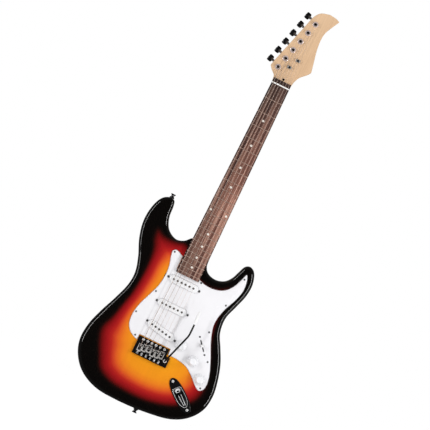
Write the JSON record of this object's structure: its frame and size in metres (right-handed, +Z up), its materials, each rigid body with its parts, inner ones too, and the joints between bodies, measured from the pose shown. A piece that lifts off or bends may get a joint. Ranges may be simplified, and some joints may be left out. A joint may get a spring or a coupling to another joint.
{
  "type": "electric guitar",
  "caption": "Solid-body electric guitar with a bolt-on maple neck, rosewood fingerboard, single-coil pickups and a spring-balanced tremolo bridge with its arm.",
  "frame": {"origin": "on the neck's centre line at the nut, in the plane of the body's flat face, about the middle of the neck's thickness, where a wall hanger's yoke holds the neck under the headstock", "axes": "+Z up along the strings from the bridge to the headstock; -Y out of the face, towards a person looking at the strings; +X to the treble side, on the right seen from the front"},
  "size_m": [0.3247, 0.078, 0.991],
  "materials": {
    "sunburst_lacquer": "gloss",
    "maple": "satin",
    "rosewood": "satin",
    "bone": "satin",
    "white_plastic": "gloss",
    "pickup_cover_plastic": "satin",
    "knob_plastic": "gloss",
    "black_plastic": "gloss",
    "black_metal": "satin",
    "jack_lacquer": "gloss",
    "chrome": "polished",
    "steel": "satin",
    "string_steel": "satin"
  },
  "bodies": {
    "root": {"body": "sunburst_lacquer", "neck": "maple", "truss_rod": "steel", "fingerboard": "rosewood", "nut": "bone", "neck_plate": "chrome", "tuner_housing_1": "black_metal", "tuner_housing_2": "black_metal", "tuner_housing_3": "black_metal", "tuner_housing_4": "black_metal", "tuner_housing_5": "black_metal", "tuner_housing_6": "black_metal", "pickguard": "white_plastic", "volume_pot": "steel", "neck_tone_pot": "steel", "middle_tone_pot": "steel", "switch_frame": "steel", "jack_plate": "jack_lacquer", "jack_socket": "chrome", "spring_claw": "steel", "tremolo_spring_1": "steel", "tremolo_spring_2": "steel", "tremolo_spring_3": "steel", "spring_cover": "white_plastic", "string_1": "string_steel", "string_2": "string_steel", "string_3": "string_steel", "string_4": "string_steel", "string_5": "string_steel", "string_6": "string_steel", "horn_strap_button": "chrome", "tail_strap_button": "chrome"},
    "tuner_button_1": {"tuner_button_1": "black_plastic"},
    "tuner_post_1": {"tuner_post_1": "chrome"},
    "tuner_button_2": {"tuner_button_2": "black_plastic"},
    "tuner_post_2": {"tuner_post_2": "chrome"},
    "tuner_button_3": {"tuner_button_3": "black_plastic"},
    "tuner_post_3": {"tuner_post_3": "chrome"},
    "tuner_button_4": {"tuner_button_4": "black_plastic"},
    "tuner_post_4": {"tuner_post_4": "chrome"},
    "tuner_button_5": {"tuner_button_5": "black_plastic"},
    "tuner_post_5": {"tuner_post_5": "chrome"},
    "tuner_button_6": {"tuner_button_6": "black_plastic"},
    "tuner_post_6": {"tuner_post_6": "chrome"},
    "volume_knob": {"volume_knob": "knob_plastic"},
    "neck_tone_knob": {"neck_tone_knob": "knob_plastic"},
    "middle_tone_knob": {"middle_tone_knob": "knob_plastic"},
    "switch_lever": {"switch_lever": "knob_plastic"},
    "tremolo": {"tremolo_plate": "black_metal", "tremolo_block": "steel"},
    "tremolo_arm": {"tremolo_arm": "black_metal"},
    "saddle_1": {"saddle_1": "steel"},
    "saddle_2": {"saddle_2": "steel"},
    "saddle_3": {"saddle_3": "steel"},
    "saddle_4": {"saddle_4": "steel"},
    "saddle_5": {"saddle_5": "steel"},
    "saddle_6": {"saddle_6": "steel"},
    "neck_pickup": {"neck_pickup": "pickup_cover_plastic"},
    "middle_pickup": {"middle_pickup": "pickup_cover_plastic"},
    "bridge_pickup": {"bridge_pickup": "pickup_cover_plastic"}
  },
  "joints": [
    {"name": "tuner_button_1_turn", "type": "hinge", "parent": "root", "child": "tuner_button_1", "pos_m": [0.012, 0.0216, 0.16269], "axis": [-0.9629, 0, 0.27], "continuous": true},
    {"name": "tuner_post_1_turn", "type": "hinge", "parent": "root", "child": "tuner_post_1", "pos_m": [0.01065, 0, 0.15788], "axis": [0, -1, 0], "continuous": true},
    {"name": "tuner_button_2_turn", "type": "hinge", "parent": "root", "child": "tuner_button_2", "pos_m": [0.00521, 0.0216, 0.13848], "axis": [-0.9629, 0, 0.27], "continuous": true},
    {"name": "tuner_post_2_turn", "type": "hinge", "parent": "root", "child": "tuner_post_2", "pos_m": [0.00386, 0, 0.13366], "axis": [0, -1, 0], "continuous": true},
    {"name": "tuner_button_3_turn", "type": "hinge", "parent": "root", "child": "tuner_button_3", "pos_m": [-0.00158, 0.0216, 0.11426], "axis": [-0.9629, 0, 0.27], "continuous": true},
    {"name": "tuner_post_3_turn", "type": "hinge", "parent": "root", "child": "tuner_post_3", "pos_m": [-0.00293, 0, 0.10945], "axis": [0, -1, 0], "continuous": true},
    {"name": "tuner_button_4_turn", "type": "hinge", "parent": "root", "child": "tuner_button_4", "pos_m": [-0.00837, 0.0216, 0.09005], "axis": [-0.9629, 0, 0.27], "continuous": true},
    {"name": "tuner_post_4_turn", "type": "hinge", "parent": "root", "child": "tuner_post_4", "pos_m": [-0.00972, 0, 0.08523], "axis": [0, -1, 0], "continuous": true},
    {"name": "tuner_button_5_turn", "type": "hinge", "parent": "root", "child": "tuner_button_5", "pos_m": [-0.01516, 0.0216, 0.06583], "axis": [-0.9629, 0, 0.27], "continuous": true},
    {"name": "tuner_post_5_turn", "type": "hinge", "parent": "root", "child": "tuner_post_5", "pos_m": [-0.01651, 0, 0.06102], "axis": [0, -1, 0], "continuous": true},
    {"name": "tuner_button_6_turn", "type": "hinge", "parent": "root", "child": "tuner_button_6", "pos_m": [-0.02195, 0.0216, 0.04161], "axis": [-0.9629, 0, 0.27], "continuous": true},
    {"name": "tuner_post_6_turn", "type": "hinge", "parent": "root", "child": "tuner_post_6", "pos_m": [-0.0233, 0, 0.0368], "axis": [0, -1, 0], "continuous": true},
    {"name": "volume_turn", "type": "hinge", "parent": "root", "child": "volume_knob", "pos_m": [0.055, 0, -0.617], "axis": [0, -1, 0], "range_deg": [0, 300]},
    {"name": "neck_tone_turn", "type": "hinge", "parent": "root", "child": "neck_tone_knob", "pos_m": [0.094, 0, -0.637], "axis": [0, -1, 0], "range_deg": [0, 300]},
    {"name": "middle_tone_turn", "type": "hinge", "parent": "root", "child": "middle_tone_knob", "pos_m": [0.125, 0, -0.667], "axis": [0, -1, 0], "range_deg": [0, 300]},
    {"name": "pickup_selector", "type": "hinge", "parent": "root", "child": "switch_lever", "pos_m": [0.0975, 0.01, -0.597], "axis": [0.7641, 0, 0.6451], "range_deg": [-20, 20]},
    {"name": "tremolo_tilt", "type": "hinge", "parent": "root", "child": "tremolo", "pos_m": [0, -0.0004, -0.641], "axis": [-1, 0, 0], "range_deg": [0, 7], "stiffness_Nm_per_rad": 12, "springref_deg": -2.86, "deforming": ["string_1", "string_2", "string_3", "string_4", "string_5", "string_6", "tremolo_spring_1", "tremolo_spring_2", "tremolo_spring_3"]},
    {"name": "arm_swing", "type": "hinge", "parent": "tremolo", "child": "tremolo_arm", "pos_m": [0.0373, -0.0032, -0.664], "axis": [0, -1, 0], "range_deg": [-180, 90]},
    {"name": "saddle_1_slide", "type": "slide", "parent": "tremolo", "child": "saddle_1", "axis": [0, 0, 1], "range_m": [-0.003, 0.0015], "deforming": ["string_1"]},
    {"name": "saddle_2_slide", "type": "slide", "parent": "tremolo", "child": "saddle_2", "axis": [0, 0, 1], "range_m": [-0.003, 0.0015], "deforming": ["string_2"]},
    {"name": "saddle_3_slide", "type": "slide", "parent": "tremolo", "child": "saddle_3", "axis": [0, 0, 1], "range_m": [-0.003, 0.0015], "deforming": ["string_3"]},
    {"name": "saddle_4_slide", "type": "slide", "parent": "tremolo", "child": "saddle_4", "axis": [0, 0, 1], "range_m": [-0.003, 0.0015], "deforming": ["string_4"]},
    {"name": "saddle_5_slide", "type": "slide", "parent": "tremolo", "child": "saddle_5", "axis": [0, 0, 1], "range_m": [-0.003, 0.0015], "deforming": ["string_5"]},
    {"name": "saddle_6_slide", "type": "slide", "parent": "tremolo", "child": "saddle_6", "axis": [0, 0, 1], "range_m": [-0.003, 0.0015], "deforming": ["string_6"]},
    {"name": "neck_pickup_height", "type": "slide", "parent": "root", "child": "neck_pickup", "axis": [0, -1, 0], "range_m": [-0.002, 0.002]},
    {"name": "middle_pickup_height", "type": "slide", "parent": "root", "child": "middle_pickup", "axis": [0, -1, 0], "range_m": [-0.002, 0.002]},
    {"name": "bridge_pickup_height", "type": "slide", "parent": "root", "child": "bridge_pickup", "axis": [0, -1, 0], "range_m": [-0.002, 0.002]}
  ],
  "couplings": [
    {"joint": "tuner_post_1_turn", "follows": "tuner_button_1_turn", "ratio": 0.066667},
    {"joint": "tuner_post_2_turn", "follows": "tuner_button_2_turn", "ratio": 0.066667},
    {"joint": "tuner_post_3_turn", "follows": "tuner_button_3_turn", "ratio": 0.066667},
    {"joint": "tuner_post_4_turn", "follows": "tuner_button_4_turn", "ratio": 0.066667},
    {"joint": "tuner_post_5_turn", "follows": "tuner_button_5_turn", "ratio": 0.066667},
    {"joint": "tuner_post_6_turn", "follows": "tuner_button_6_turn", "ratio": 0.066667}
  ]
}
